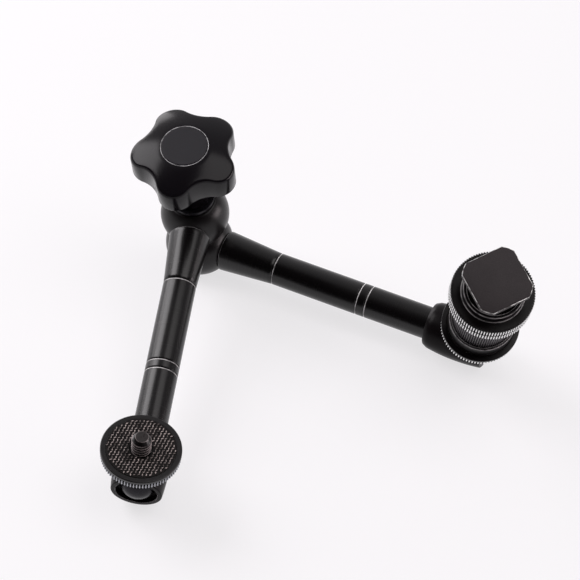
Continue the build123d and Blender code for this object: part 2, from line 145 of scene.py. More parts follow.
NECK_R = 2.9
FLANGE_R = 6.0
FLANGE_T = 1.6
DISC_BASE = 13.6
DISC_TOP = 17.4
DISC_R = 12.85
DISC_TIP_R = DISC_R - 0.1
DISC_RIBS = 82
DISC_RIB_DEPTH = 0.8
RIM_T = 1.3
PAD_R = 11.1
PAD_FLOOR = 16.2
PAD_TOP = 17.8
PAD_HOLE_R = 3.6
PIMPLE_PITCH = 1.0
PIMPLE_ROW = 1.12
PIMPLE_R = 0.34
PIMPLE_TOP_R = 0.24
PIMPLE_HEIGHT = 0.3
PIMPLE_STRETCH = (1.75, 0.68)
PIMPLE_LIE = -14
PIMPLE_LEANS = (-38, 12)
SCREW_R = 3.175
SCREW_TOP = 23.8
SCREW_CHAMFER = 1.1
SCREW_PITCH = 1.27
THREAD_DEPTH = 0.62
THREAD_CORE = SCREW_R - THREAD_DEPTH

# Shoe adapter sizes, heights above the disc

COLLAR_R = 10.95
COLLAR_T = 5.8
STEM_R = 9.9
STEM_TOP = 25.6
STEM_RIBS = 80
STEM_RIB_DEPTH = 0.4
SPIGOT_R = 6.0
SCREW_HOLE_DEPTH = 9.0
RING_BOTTOM = 26.1
RING_T = 7.0
RING_R = 13.6
RING_RIBS = 96
RING_RIB_DEPTH = 0.62
RING_GROOVE_R = 12.9
RING_COLLAR_R = 10.05
RING_RECESS_R = 8.5
FOOT_TOP = 44.6
FOOT_T = 1.9
FOOT_HALF = 9.25
FOOT_ROUND_R = 11.2
FOOT_TURN = 50.5

# Knob sizes, heights above the centre of the upper head

KNOB_TIP_R = 18.1
KNOB_NOTCH_R = 14.1
KNOB_LOBE_R = 6.0
KNOB_LOBES = 5
KNOB_TURN = -9.5
KNOB_UNDERSIDE = 28.0
KNOB_SHOULDER = 35.8
KNOB_CROWN = 40.2
KNOB_EDGE = 0.95
KNOB_RECESS = 5.5
KNOB_WALL = 1.8
CROWN_R = (KNOB_TIP_R ** 2 + (KNOB_CROWN - KNOB_SHOULDER) ** 2) / (2 * (KNOB_CROWN - KNOB_SHOULDER))
CAP_R = 7.5
CAP_SEAT_R = 7.65
CAP_T = 1.6
CAP_PROUD = 0.1
HUB_R = 6.2
HUB_FOOT_R = 5.0
HUB_TOP_R = 6.75
HUB_ROOT_R = 7.3
HUB_BOTTOM = 10.65

# Wear on rib tips and painted highlight on thread crests: how far in from the tip it starts, and where it is
# full

TIP_BAND_DEPTH = 0.24
TIP_BAND_FULL = 0.04

# The photograph's camera

CAMERA_AT = Vector((-0.01577, -0.54917, 0.66689))
CAMERA_AHEAD = Vector((0.00809, 0.66128, -0.75009))
CAMERA_RIGHT = Vector((0.99992, 0.00174, 0.01232))
FOCAL_PIXELS = 2600
FRAME_PIXELS = 580
SENSOR_WIDTH = 36.0


# Heights that a finish and a shape share

def seat_height(radius):
    """Height of the tube's seat on the head's ball at a radius, above the centre of the head."""
    return sqrt((HEAD_R + SEATED) ** 2 - radius ** 2)


def crown(radius):
    """Height of the knob's crown above the upper head at a radius."""
    return KNOB_CROWN - CROWN_R + sqrt(CROWN_R ** 2 - radius ** 2)


# Node helpers

class Nodes:
    """A material's node tree with short calls for the nodes used here."""

    def __init__(self, name):
        self.material = bpy.data.materials.new(name)
        self.material.use_nodes = True
        self.tree = self.material.node_tree
        self.shader = self.tree.nodes["Principled BSDF"]
        self.coordinates = self.tree.nodes.new("ShaderNodeTexCoord").outputs["Object"]

    def node(self, kind, inputs=(), **settings):
        """Adds a node with its settings, and feeds its inputs."""
        node = self.tree.nodes.new(kind)
        for key, value in settings.items():
            setattr(node, key, value)
        for socket, value in dict(inputs).items():
            self.feed(node.inputs[socket], value)
        return node

    def feed(self, socket, value):
        """Links a node's output to a socket, or sets the socket to a plain value."""
        if isinstance(value, bpy.types.NodeSocket):
            self.tree.links.new(value, socket)
        else:
            socket.default_value = value

    def set(self, socket, value):
        self.feed(self.shader.inputs[socket], value)

    def local(self, place):
        """Object coordinates in a piece's own frame, in metres."""
        location, rotation, _ = place.inverted().decompose()
        return self.node("ShaderNodeMapping", {"Vector": self.coordinates, "Location": location,
                                               "Rotation": rotation.to_euler()}).outputs["Vector"]

    def noise(self, scale, detail=3.0, vector=None):
        return self.node("ShaderNodeTexNoise", {"Vector": vector or self.coordinates, "Scale": scale,
                                                "Detail": detail}).outputs["Fac"]

    def math(self, operation, first, second=0.0):
        return self.node("ShaderNodeMath", {0: first, 1: second}, operation=operation).outputs[0]

    def spread(self, value, low, high, to_low=0.0, to_high=1.0):
        """Maps a range of a value onto another, held at its ends."""
        return self.node("ShaderNodeMapRange", {"Value": value, "From Min": low, "From Max": high,
                                                "To Min": to_low, "To Max": to_high}).outputs["Result"]

    def mix(self, share, first, second):
        """Colour between two colours."""
        ramp = self.node("ShaderNodeValToRGB", {"Fac": share})
        ramp.color_ramp.elements[0].color = (*first, 1)
        ramp.color_ramp.elements[1].color = (*second, 1)
        return ramp.outputs["Color"]

    def over(self, share, below, colour):
        """A colour laid over another one."""
        blend = self.node("ShaderNodeMix", data_type="RGBA")
        self.feed(blend.inputs[0], share)
        self.feed(blend.inputs[6], below)
        self.feed(blend.inputs[7], (*colour, 1))
        return blend.outputs[2]

    def bump(self, height, strength, distance):
        bump = self.node("ShaderNodeBump", {"Height": height, "Strength": strength, "Distance": distance})
        self.set("Normal", bump.outputs["Normal"])


def from_axis(nodes, place):
    """Distance from a piece's own Z axis and height along it, in metres."""
    parts = nodes.node("ShaderNodeSeparateXYZ", {"Vector": nodes.local(place)})
    across = nodes.math("ADD", nodes.math("POWER", parts.outputs["X"], 2.0),
                        nodes.math("POWER", parts.outputs["Y"], 2.0))
    return nodes.math("SQRT", across), parts.outputs["Z"]


def painted_edge_highlights(nodes, place, highlight_rings, reach):
    """Share of painted highlight: 1 on round edges at the given (radius, height) of a piece, fading out over
    a short reach and broken into patches.
    """
    radius, height = from_axis(nodes, place)
    patches = nodes.spread(nodes.noise(420.0), 0.34, 0.5, 0.35, 1.0)
    total = 0.0
    for ring_radius, ring_height in highlight_rings:
        out = nodes.math("SUBTRACT", radius, ring_radius * MM)
        up = nodes.math("SUBTRACT", height, ring_height * MM)
        away = nodes.math("SQRT", nodes.math("ADD", nodes.math("MULTIPLY", out, out),
                                             nodes.math("MULTIPLY", up, up)))
        total = nodes.math("MAXIMUM", total, nodes.spread(away, reach * 0.5 * MM, reach * MM, 1.0, 0.0))
    return nodes.math("MULTIPLY", total, patches)


# Materials

ANODISED_BLACK = (0.0034, 0.0024, 0.0028)
BARE_METAL = (1.0, 1.0, 1.0)


def anodised(name, place, gloss, highlight_rings=()):
    """Satin black anodised aluminium: fine blast grain, faint cloudy changes of tone, and painted highlight
    lines on the given round edges.
    """
    nodes = Nodes(name)
    clouds = nodes.noise(90.0)
    black = nodes.mix(clouds, ANODISED_BLACK, (0.0066, 0.0048, 0.0055))
    # The pale colour laid over the black is a painted highlight along the given edge rings.
    nodes.set("Base Color", nodes.over(painted_edge_highlights(nodes, place, highlight_rings, 0.2), black, (0.22, 0.21, 0.215)))
    nodes.set("Roughness", nodes.spread(clouds, 0.3, 0.7, 0.26, 0.36))
    nodes.set("Specular IOR Level", gloss)
    nodes.bump(nodes.noise(5200.0, 2.0), 0.06, 0.00004)
    return nodes.material


def tube_finish(name, place):
    """Polished black anodised tube with a fine grain, very faint turning lines, and painted highlight lines
    round the flare's lip and at the edge of each groove.
    """
    nodes = Nodes(name)
    stretched = nodes.node("ShaderNodeMapping", {"Vector": nodes.local(place),
                                                 "Scale": (30.0, 30.0, 7000.0)}).outputs["Vector"]
    lines = nodes.noise(1.0, 2.0, stretched)
    clouds = nodes.noise(60.0)
    # Painted highlight lines: one round the flare's lip, one at the edge of each groove.
    lip_height = seat_height(FLARE_LIP_R) + FLARE_LIP
    highlight_rings = [(FLARE_LIP_R + 0.6 * FLARE_LIP, lip_height - 0.8 * FLARE_LIP)]
    highlight_rings += [(TUBE_R - 0.04, groove + GROOVE_HALF) for groove in GROOVES]
    black = nodes.mix(clouds, (0.0020, 0.0013, 0.0016), (0.0040, 0.0029, 0.0034))
    # The near-white colour laid over the black is the painted highlight.
    nodes.set("Base Color", nodes.over(painted_edge_highlights(nodes, place, highlight_rings, 0.25), black, (0.75, 0.73, 0.73)))
    nodes.set("Roughness", nodes.spread(lines, 0.3, 0.7, 0.26, 0.275))
    nodes.set("Specular IOR Level", 0.42)
    nodes.bump(nodes.noise(3800.0, 2.0), 0.03, 0.00003)
    return nodes.material


def worn_knurl(name, place, tip, low, high, bright, gloss, highlight_rings=()):
    """Black metal, its rib tips bright near a tip radius between two heights, with painted highlight lines on
    the given round edges.
    """
    nodes = Nodes(name)
    radius, height = from_axis(nodes, place)
    clouds = nodes.noise(900.0)
    rubbed = nodes.math("ADD", radius, nodes.math("MULTIPLY", clouds, 0.00006))
    share = nodes.spread(rubbed, (tip - TIP_BAND_DEPTH) * MM, (tip - TIP_BAND_FULL) * MM)
    above = nodes.spread(height, (low - 0.05) * MM, (low + 0.1) * MM)
    below = nodes.spread(height, (high + 0.05) * MM, (high - 0.1) * MM)
    share = nodes.math("MULTIPLY", share, nodes.math("MULTIPLY", above, below))
    bright_tips = nodes.mix(share, ANODISED_BLACK, bright)
    # The pale grey laid over the tip colour is a painted highlight along the given edge rings.
    nodes.set("Base Color", nodes.over(painted_edge_highlights(nodes, place, highlight_rings, 0.26), bright_tips, (0.34, 0.33, 0.33)))
    nodes.set("Metallic", nodes.math("MULTIPLY", share, 0.9))
    nodes.set("Roughness", nodes.spread(clouds, 0.3, 0.7, 0.28, 0.38))
    nodes.set("Specular IOR Level", gloss)
    nodes.bump(nodes.noise(4000.0), 0.05, 0.00004)
    return nodes.material


def thread_with_painted_highlights(name, place):
    """Blackened screw with a painted highlight along the crests of its thread and round the rim of its flat
    end, and slightly paler on its flat end.
    """
    nodes = Nodes(name)
    radius, height = from_axis(nodes, place)
    clouds = nodes.noise(700.0)
    # Painted highlight: the thread's crests are made pale and partly metallic.
    crest = nodes.spread(radius, (SCREW_R - TIP_BAND_DEPTH) * MM, (SCREW_R - TIP_BAND_FULL) * MM)
    end = nodes.spread(height, (SCREW_TOP - 0.06) * MM, (SCREW_TOP - 0.01) * MM, 0.0, 0.06)
    # Painted highlight line round the rim of the flat end, at 0.6 of full.
    edge = painted_edge_highlights(nodes, place, [(SCREW_R - SCREW_CHAMFER, SCREW_TOP - 0.06)], 0.16)
    share = nodes.math("MAXIMUM", nodes.math("MAXIMUM", crest, end), nodes.math("MULTIPLY", edge, 0.6))
    nodes.set("Base Color", nodes.mix(share, (0.0030, 0.0019, 0.0019), (0.30, 0.26, 0.255)))
    nodes.set("Metallic", nodes.math("MULTIPLY", share, 0.3))
    nodes.set("Roughness", nodes.spread(clouds, 0.3, 0.7, 0.24, 0.40))
    nodes.set("Specular IOR Level", 0.35)
    nodes.bump(nodes.noise(3000.0), 0.06, 0.00004)
    return nodes.material


def blasted(name):
    """Matt brown-black with a fine grain, as on the foot."""
    nodes = Nodes(name)
    fine = nodes.noise(3000.0, 4.0)
    clouds = nodes.noise(120.0)
    share = nodes.math("ADD", nodes.math("MULTIPLY", fine, 0.6), nodes.math("MULTIPLY", clouds, 0.4))
    nodes.set("Base Color", nodes.mix(nodes.spread(share, 0.3, 0.7), (0.017, 0.0125, 0.0140),
                                      (0.031, 0.0240, 0.0260)))
    nodes.set("Roughness", 0.6)
    nodes.set("Specular IOR Level", 0.35)
    nodes.bump(fine, 0.35, 0.00008)
    return nodes.material


def rubbed_edge(name):
    """Cut edge where the black is rubbed through to bright metal here and there."""
    nodes = Nodes(name)
    patches = nodes.spread(nodes.noise(620.0), 0.38, 0.56)
    nodes.set("Base Color", nodes.mix(patches, (0.05, 0.047, 0.047), (0.85, 0.84, 0.83)))
    nodes.set("Metallic", nodes.math("MULTIPLY", patches, 0.9))
    nodes.set("Roughness", 0.32)
    nodes.bump(nodes.noise(3000.0), 0.1, 0.00004)
    return nodes.material


def moulded_gloss(name):
    """Glossy black moulding with a very slight orange peel and a painted highlight line round the cap's seat.
    """
    nodes = Nodes(name)
    clouds = nodes.noise(45.0)
    # Painted highlight line along the rim of the cap's seat.
    seat = painted_edge_highlights(nodes, KNOB_FRAME, [(CAP_SEAT_R + 0.08, crown(CAP_SEAT_R))], 0.2)
    black = nodes.mix(clouds, (0.0045, 0.0036, 0.0050), (0.0072, 0.0060, 0.0078))
    nodes.set("Base Color", nodes.over(seat, black, (0.70, 0.69, 0.71)))
    nodes.set("Roughness", nodes.spread(clouds, 0.3, 0.7, 0.15, 0.21))
    nodes.set("Specular IOR Level", 0.18)
    nodes.bump(nodes.noise(260.0, 2.0), 0.04, 0.0002)
    return nodes.material


def moulded_matt(name):
    """Fine matt moulding of the knob's cap."""
    nodes = Nodes(name)
    fine = nodes.noise(4500.0, 3.0)
    clouds = nodes.noise(80.0)
    nodes.set("Base Color", nodes.mix(clouds, (0.0105, 0.0095, 0.0130), (0.0145, 0.0133, 0.0175)))
    nodes.set("Specular IOR Level", 0.3)
    nodes.set("Roughness", nodes.spread(fine, 0.3, 0.7, 0.42, 0.55))
    nodes.bump(fine, 0.12, 0.00005)
    return nodes.material


def black_oxide(name):
    """Blackened steel with a light oil sheen."""
    nodes = Nodes(name)
    clouds = nodes.noise(400.0)
    nodes.set("Base Color", nodes.mix(clouds, (0.008, 0.0072, 0.0095), (0.022, 0.0205, 0.026)))
    nodes.set("Metallic", 0.5)
    nodes.set("Specular IOR Level", 0.3)
    nodes.set("Roughness", nodes.spread(clouds, 0.3, 0.7, 0.22, 0.34))
    nodes.bump(nodes.noise(3000.0), 0.06, 0.00004)
    return nodes.material


def turned_metal(name, colour, light, roughness):
    """Bright turned metal: steel or brass."""
    nodes = Nodes(name)
    lines = nodes.noise(2500.0)
    nodes.set("Base Color", nodes.mix(nodes.noise(200.0), colour, light))
    nodes.set("Metallic", 1.0)
    nodes.set("Roughness", nodes.spread(lines, 0.3, 0.7, roughness - 0.05, roughness + 0.05))
    nodes.bump(lines, 0.05, 0.00003)
    return nodes.material


def rubber(name, place, pale):
    """Dark brown-black rubber with a painted highlight on the tops of its pimples, broken up in patches."""
    nodes = Nodes(name)
    clouds = nodes.noise(500.0)
    _, height = from_axis(nodes, place)
    # Painted highlight: the pimples' tops, taken by height, get the pale colour.
    bright_tips = nodes.spread(height, (PAD_TOP - 0.16) * MM, (PAD_TOP - 0.02) * MM)
    bright_tips = nodes.math("MULTIPLY", bright_tips, nodes.spread(clouds, 0.38, 0.58, 0.18, 1.0))
    nodes.set("Base Color", nodes.mix(bright_tips, (0.0036, 0.0022, 0.0020), pale))
    nodes.set("Specular IOR Level", 0.2)
    nodes.set("Roughness", nodes.spread(clouds, 0.3, 0.7, 0.40, 0.54))
    nodes.bump(nodes.noise(5000.0), 0.10, 0.00005)
    return nodes.material


def nylon(name):
    """Plain dark nylon washer."""
    nodes = Nodes(name)
    nodes.set("Base Color", nodes.mix(nodes.noise(300.0), (0.012, 0.012, 0.012), (0.022, 0.021, 0.021)))
    nodes.set("Roughness", 0.5)
    nodes.bump(nodes.noise(3500.0), 0.08, 0.00004)
    return nodes.material


# Mesh helpers, in millimetres in a piece's own frame

LONG_RUN = 1.6
HOLD_IN = 0.04


def arc(centre, radius, start, end, steps):
    """Points (radius, height) on an arc in a half section, angles in degrees from the outward direction."""
    points = []
    for i in range(steps + 1):
        angle = radians(start + (end - start) * i / steps)
        points.append((centre[0] + radius * cos(angle), centre[1] + radius * sin(angle)))
    return points


def through(first, middle, last, steps):
    """Points on the circle through three points of a half section, from the first to the last."""
    (ax, ay), (bx, by), (cx, cy) = first, middle, last
    d = 2 * (ax * (by - cy) + bx * (cy - ay) + cx * (ay - by))
    a, b, c = ax ** 2 + ay ** 2, bx ** 2 + by ** 2, cx ** 2 + cy ** 2
    ux = (a * (by - cy) + b * (cy - ay) + c * (ay - by)) / d
    uy = (a * (cx - bx) + b * (ax - cx) + c * (bx - ax)) / d
    radius = sqrt((ax - ux) ** 2 + (ay - uy) ** 2)
    start = degrees(atan2(ay - uy, ax - ux))
    sweep = (degrees(atan2(cy - uy, cx - ux)) - start + 180) % 360 - 180
    return arc((ux, uy), radius, start, start + sweep, steps)


def held(profile, closed):
    """Adds a point just inside both ends of each long run, so that smooth shading leaves it flat."""
    points = []
    for start, end in zip(profile, profile[1:] + profile[:1]):
        run = Vector(end) - Vector(start)
        points.append(start)
        if run.length > LONG_RUN:
            step = run * HOLD_IN / run.length
            points += [tuple(Vector(start) + step), tuple(Vector(end) - step)]
    return points if closed else points[:points.index(profile[-1]) + 1]


def spun(profile, segments, closed, hold=True):
    """A bmesh turned about Z from the (radius, height) points of its half section."""
    bm = bmesh.new()
    verts = [bm.verts.new((r, 0, z)) for r, z in (held(profile, closed) if hold else profile)]
    edges = [bm.edges.new(pair) for pair in zip(verts, verts[1:])]
    if closed:
        edges.append(bm.edges.new((verts[-1], verts[0])))
    bmesh.ops.spin(bm, geom=verts + edges, cent=(0, 0, 0), axis=(0, 0, 1), angle=tau, steps=segments,
                   use_merge=True)
    bmesh.ops.remove_doubles(bm, verts=bm.verts, dist=1e-5)
    bmesh.ops.recalc_face_normals(bm, faces=bm.faces)
    return bm


def shade(mesh, sharp):
    mesh.shade_smooth()
    mesh.set_sharp_from_angle(angle=radians(sharp))


def placed_mesh(bm, name, place):
    """Mesh in metres at its place, from a bmesh in millimetres."""
    mesh = bpy.data.meshes.new(name)
    bm.to_mesh(mesh)
    bm.free()
    mesh.transform(place @ Matrix.Scale(MM, 4))
    return mesh


def finished(bm, name, place, material, body, node, sharp=35.0):
    """Puts a bmesh at its place, shades it, attaches it to its body and hides the node it stands for."""
    mesh = placed_mesh(bm, name, place)
    shade(mesh, sharp)
    mesh.materials.append(material)
    piece = bpy.data.objects.new(name, mesh)
    bpy.context.scene.collection.objects.link(piece)
    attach(piece, body)
    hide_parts(node)
    return piece


def dress(material, *names):
    """Gives carried-over nodes their material."""
    for name in names:
        for slot in frame["nodes"][name].material_slots:
            slot.material = material


def around(vert):
    """Distance of a vertex from the Z axis and its angle round it."""
    return sqrt(vert.co.x ** 2 + vert.co.y ** 2), atan2(vert.co.y, vert.co.x)


def sink_ribs(bm, rim, ribs, depth, low, high, power):
    """Sinks the gaps between ribs into the faces of a turned piece that lie near a rim radius."""
    for vert in bm.verts:
        radius, angle = around(vert)
        if low - 1e-4 <= vert.co.z <= high + 1e-4 and radius > rim - 1.0:
            crest = abs(cos(pi * (angle * ribs / tau % 1.0)))
            factor = 1.0 - depth * (1.0 - crest ** power) / radius
            vert.co.x *= factor
            vert.co.y *= factor


# Elbow and arm pieces

def head(name, place, body, node, material):
    """Half of the elbow: a ball with two flats and a pocket for the wedge."""
    flat_r = sqrt(HEAD_R ** 2 - HEAD_HALF ** 2)
    edge = 0.12
    side = through((flat_r + edge, HEAD_HALF - edge), (HEAD_R, 0), (flat_r + edge, edge - HEAD_HALF), 40)
    profile = [(BOLT_BORE, HEAD_HALF), (flat_r - 2 * edge, HEAD_HALF)] + side
    profile += [(flat_r - 2 * edge, -HEAD_HALF), (WEDGE_POCKET_R + edge, -HEAD_HALF),
                (WEDGE_POCKET_R, edge - HEAD_HALF), (WEDGE_POCKET_R, WEDGE_POCKET_END),
                (BOLT_BORE, WEDGE_POCKET_END)]
    return finished(spun(profile, 128, True), name, place, material, body, node, 40.0)


def tube(name, place, body, node, material):
    """Arm tube with its flare seated on the head's ball and three V grooves."""
    mid_r = (TUBE_BORE + FLARE_LIP_R) / 2
    lip_z = seat_height(FLARE_LIP_R)
    seat = through((TUBE_BORE, seat_height(TUBE_BORE)), (mid_r, seat_height(mid_r)), (FLARE_LIP_R, lip_z), 4)
    lip = arc((FLARE_LIP_R, lip_z + FLARE_LIP), FLARE_LIP, -90, 0, 6)
    flare = through((FLARE_R, lip_z + FLARE_LIP), FLARE_MID, (TUBE_R, GROOVES[0] - GROOVE_HALF), 20)
    side = []
    for groove in GROOVES:
        for share in (-1.0, -0.8, -0.1, 0.1, 0.8, 1.0):
            depth = GROOVE_DEPTH * (1.0 - abs(share)) / 0.9
            side.append((TUBE_R - depth, groove + share * GROOVE_HALF))
    profile = seat + lip[1:] + flare[1:-1] + side + [(TUBE_R, TUBE_END), (TUBE_BORE, TUBE_END)]
    return finished(spun(profile, 96, True), name, place, material, body, node, 50.0)


def washer(name, radius, low, high, body, node, material):
    """Flat washer on the clamp bolt with softened rims, heights above the upper head."""
    edge = 0.12
    profile = [(BOLT_BORE, low), (radius - edge, low), (radius, low + edge), (radius, high - edge),
               (radius - edge, high), (BOLT_BORE, high)]
    return finished(spun(profile, 96, True), name, KNOB_FRAME, material, body, node)


# Cup and ball stud

def cup_blank():
    """Cup before its slot is cut, with the ball's seat and the lip that holds the ball."""
    lip_angle = degrees(asin(MOUTH_FLOOR / CUP_BORE))
    profile = [(TUBE_R + SEATED, CUP_BACK), (CUP_BACK_R - 0.2, CUP_BACK), (CUP_BACK_R, CUP_BACK + 0.15)]
    profile += through((CUP_SHOULDER_R, CUP_BACK + CUP_SHOULDER), CUP_MID,
                       (CUP_FRONT_R, CUP_FRONT - CUP_LIP), 18)
    profile += arc((CUP_FRONT_R - CUP_LIP, CUP_FRONT - CUP_LIP), CUP_LIP, 0, 90, 5)[1:]
    profile += [(MOUTH_R + 0.2, CUP_FRONT), (MOUTH_R, CUP_FRONT - 0.2), (MOUTH_R, MOUTH_FLOOR)]
    profile += arc((0, 0), CUP_BORE, lip_angle, 0, 8)
    profile += [(CUP_BORE, CUP_BACK + CUP_TUBE_DEPTH), (TUBE_R + SEATED, CUP_BACK + CUP_TUBE_DEPTH)]
    return spun(profile, 128, True, hold=False)


def slot_cutter():
    """Round-ended block as wide as the slot, on the +X side of the cup and out through its front."""
    length = CUP_FRONT - SLOT_END + SLOT_PAST
    bm = bmesh.new()
    block = Matrix.Translation((SLOT_REACH / 2, 0, SLOT_END + length / 2)) @ Matrix.Diagonal(
        (SLOT_REACH, 2 * SLOT_HALF, length, 1))
    bmesh.ops.create_cube(bm, size=1.0, matrix=block)
    round_end = Matrix.Translation((SLOT_REACH / 2, 0, SLOT_END)) @ Matrix.Rotation(pi / 2, 4, "Y")
    bmesh.ops.create_cone(bm, cap_ends=True, segments=64, radius1=SLOT_HALF, radius2=SLOT_HALF,
                          depth=SLOT_REACH, matrix=round_end)
    return bm


def cup(name, place, body, node, material):
    """Slotted cup round the ball, its slot cut by a block and its edges broken."""
    piece = finished(cup_blank(), name, place, material, body, node)
    cutter = bpy.data.objects.new("cutter", placed_mesh(slot_cutter(), "cutter", place))
    bpy.context.scene.collection.objects.link(cutter)
    cut = piece.modifiers.new("slot", "BOOLEAN")
    cut.object = cutter
    cut.solver = "EXACT"
    cut.use_self = True
    edges = piece.modifiers.new("edges", "BEVEL")
    edges.width = SLOT_EDGE * MM
    edges.segments = 2
    edges.limit_method = "ANGLE"
    edges.angle_limit = radians(50.0)
    evaluated = piece.evaluated_get(bpy.context.evaluated_depsgraph_get())
    mesh = bpy.data.meshes.new_from_object(evaluated)
    piece.modifiers.clear()
    piece.data = mesh
    bpy.data.objects.remove(cutter)
    shade(mesh, 35.0)
    return piece


def ball_stud(name, place, body, node, material):
    """Ball, neck and flange of a stud."""
    flange = DISC_BASE - FLANGE_T
    neck_angle = degrees(acos(NECK_R / BALL_R))
    profile = [(0, -BALL_R)] + arc((0, 0), BALL_R, -88, neck_angle, 40)
    profile += [(NECK_R, flange - 1.2), (NECK_R + 0.6, flange - 0.8), (FLANGE_R - 0.5, flange),
                (FLANGE_R, flange + 0.2), (FLANGE_R, DISC_BASE), (0, DISC_BASE)]
    return finished(spun(profile, 96, False), name, place, material, body, node)


# Disc, pad and screw

def knurled_disc(name, place, body, node, material):
    """Disc with a plain rim over rounded ribs whose lower ends are bevelled."""
    rib_top = DISC_TOP - RIM_T
    rib_r = DISC_TIP_R
    bore = SCREW_R + RUNNING
    profile = [(bore, DISC_BASE), (rib_r - 0.8, DISC_BASE), (rib_r - 0.35, DISC_BASE + 0.12),
               (rib_r, DISC_BASE + 0.5), (rib_r, rib_top - 0.3), (rib_r - 0.25, rib_top - 0.05),
               (DISC_R - 0.12, rib_top + 0.08), (DISC_R, rib_top + 0.25), (DISC_R, DISC_TOP - 0.3)]
    profile += arc((DISC_R - 0.3, DISC_TOP - 0.3), 0.3, 15, 90, 5)
    profile += [(PAD_R + 0.12, DISC_TOP), (PAD_R + 0.03, DISC_TOP - 0.1), (PAD_R + SEATED, PAD_FLOOR),
                (bore, PAD_FLOOR)]
    bm = spun(profile, DISC_RIBS * 10, True)
    sink_ribs(bm, rib_r, DISC_RIBS, DISC_RIB_DEPTH, DISC_BASE + 0.1, rib_top - 0.3, 1.3)
    return finished(bm, name, place, material, body, node, 40.0)


def pimpled_pad(material):
    """Rubber pad covered with rows of short slanted ridges that lean more and less in turn."""
    base = PAD_TOP - 0.28
    profile = [(PAD_HOLE_R, PAD_FLOOR), (PAD_R, PAD_FLOOR), (PAD_R, base - 0.1), (PAD_R - 0.1, base),
               (PAD_HOLE_R + 0.1, base), (PAD_HOLE_R, base - 0.1)]
    bm = spun(profile, 96, True)
    rows = int(PAD_R / PIMPLE_ROW) + 1
    columns = int(PAD_R / PIMPLE_PITCH) + 1
    lie = Matrix.Rotation(radians(PIMPLE_LIE), 4, "Z")
    for row in range(-rows, rows + 1):
        for column in range(-columns, columns + 1):
            along = (column + 0.5 * (row % 2)) * PIMPLE_PITCH
            centre = lie @ Vector((along, row * PIMPLE_ROW, PAD_TOP - PIMPLE_HEIGHT / 2))
            if PAD_HOLE_R + 0.35 < centre.xy.length < PAD_R - 0.4:
                lean = Matrix.Rotation(radians(PIMPLE_LEANS[column % 2]), 4, "Z")
                stretch = Matrix.Diagonal((*PIMPLE_STRETCH, 1.0, 1.0))
                bmesh.ops.create_cone(bm, cap_ends=True, segments=8, radius1=PIMPLE_R, radius2=PIMPLE_TOP_R,
                                      depth=PIMPLE_HEIGHT,
                                      matrix=Matrix.Translation(centre) @ lie @ lean @ stretch)
    return finished(bm, "pimpled_pad", SCREW_STUD, material, "screw_lock_disc", "screw_pad",
                    25.0)


def wind_thread(bm, low, high):
    """Winds a V ridge round the screw's core from one height to another, running out at both ends."""
    turns = (high - low) / SCREW_PITCH
    steps = round(turns * 48)
    half = SCREW_PITCH * 0.48
    points = [(THREAD_CORE - 0.03, low - half), (SCREW_R - 0.01, low - 0.07), (SCREW_R - 0.01, low + 0.07),
              (THREAD_CORE - 0.03, low + half)]
    verts = [bm.verts.new((r, 0, z)) for r, z in points]
    edges = [bm.edges.new(pair) for pair in zip(verts, verts[1:])]
    bmesh.ops.spin(bm, geom=verts + edges, cent=(0, 0, 0), dvec=(0, 0, (high - low) / steps), axis=(0, 0, 1),
                   angle=tau * turns, steps=steps, use_merge=False)
    for vert in bm.verts:
        radius, _ = around(vert)
        if radius > THREAD_CORE + 0.1:
            fade = min(1.0, (vert.co.z - low + 0.3) / half, (high - vert.co.z + 0.3) / half)
            factor = (THREAD_CORE + (radius - THREAD_CORE) * max(fade, 0.0)) / radius
            vert.co.x *= factor
            vert.co.y *= factor


def quarter_screw(material):
    """1/4 inch screw: threaded, with a bevelled end."""
    tip = SCREW_R - SCREW_CHAMFER
    profile = [(0, DISC_BASE), (THREAD_CORE, DISC_BASE), (THREAD_CORE, SCREW_TOP - SCREW_CHAMFER + 0.4)]
    profile += arc((tip - 0.12, SCREW_TOP - 0.12), 0.12, 30, 90, 3) + [(0, SCREW_TOP)]
    bm = spun(profile, 64, False)
    wind_thread(bm, PAD_FLOOR + 0.4, SCREW_TOP - SCREW_CHAMFER - 0.1)
    bmesh.ops.recalc_face_normals(bm, faces=bm.faces)
    return finished(bm, "threaded_screw", SCREW_STUD, material, "screw_stud", "screw_quarter_screw",
                    25.0)


# Shoe adapter

def adapter(material):
    """Smooth collar, ribbed stem and spigot of the shoe adapter."""
    collar = DISC_TOP + COLLAR_T
    stem_top = DISC_TOP + STEM_TOP
    foot_low = DISC_TOP + FOOT_TOP - FOOT_T
    hole = SCREW_R + SEATED
    profile = [(0, DISC_TOP + SCREW_HOLE_DEPTH), (hole, DISC_TOP + SCREW_HOLE_DEPTH), (hole, PAD_TOP)]
    profile += arc((COLLAR_R - 0.3, PAD_TOP + 0.3), 0.3, -90, 0, 5)
    profile += arc((COLLAR_R - 0.25, collar - 0.25), 0.25, 0, 90, 5)
    profile += [(STEM_R + 0.3, collar), (STEM_R + 0.12, collar - 0.2), (STEM_R, collar - 0.1),
                (STEM_R, stem_top - 0.2), (STEM_R - 0.3, stem_top), (SPIGOT_R, stem_top),
                (SPIGOT_R, foot_low), (0, foot_low)]
    bm = spun(profile, STEM_RIBS * 8, False)
    sink_ribs(bm, STEM_R, STEM_RIBS, STEM_RIB_DEPTH, collar - 0.1, stem_top - 0.2, 1.2)
    return finished(bm, "ribbed_stem", SHOE_STUD, material, "shoe_head", "adapter_base",
                    40.0)


